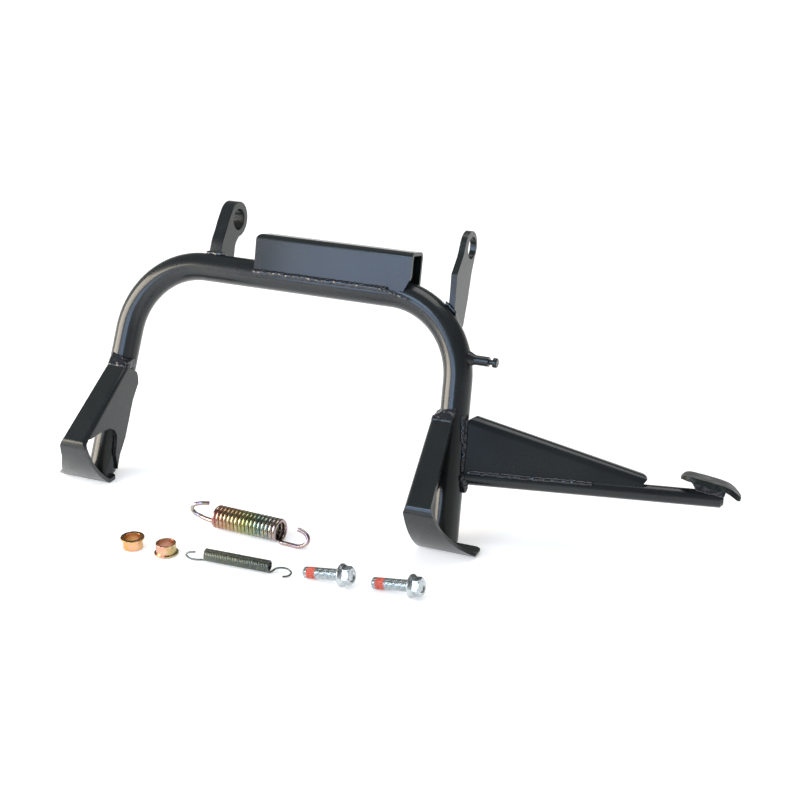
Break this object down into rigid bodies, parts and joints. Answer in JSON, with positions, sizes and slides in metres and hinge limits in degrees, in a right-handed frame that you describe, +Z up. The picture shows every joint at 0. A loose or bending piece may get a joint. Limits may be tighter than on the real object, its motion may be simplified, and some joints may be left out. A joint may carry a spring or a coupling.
{
  "type": "motorcycle centre stand",
  "caption": "Black motorcycle centre stand: bent tube with folded feet, pivot lugs, stop channel and tread arm, with its springs, bushes and bolts laid in front.",
  "frame": {"origin": "middle of the pivot axis, half way between the outer faces of the two lugs", "axes": "+X along the pivot axis to the right lug and the tread arm, +Z up, the open front is towards -Y; the stand is shown down, its feet on z = -0.2275"},
  "size_m": [0.6168, 0.2535, 0.2445],
  "materials": {
    "black_paint": "satin",
    "weld_paint": "gloss",
    "yellow_zinc": "satin",
    "grey_zinc": "satin",
    "gold_zinc": "satin",
    "rose_zinc": "satin",
    "white_zinc": "satin"
  },
  "bodies": {
    "root": {"main_tube": "black_paint", "left_pivot_lug": "black_paint", "right_pivot_lug": "black_paint", "stop_channel": "black_paint", "left_foot": "black_paint", "right_foot": "black_paint", "tread_arm": "black_paint", "arm_gusset": "black_paint", "tread_pad": "black_paint", "spring_post": "black_paint", "channel_weld": "weld_paint", "left_lug_weld": "weld_paint", "right_lug_weld": "weld_paint", "left_foot_weld": "weld_paint", "right_foot_weld": "weld_paint", "gusset_weld": "weld_paint", "pad_weld": "weld_paint", "large_spring": "yellow_zinc", "small_spring": "grey_zinc", "left_bush": "gold_zinc", "right_bush": "rose_zinc", "left_bolt": "white_zinc", "right_bolt": "white_zinc"}
  },
  "joints": []
}
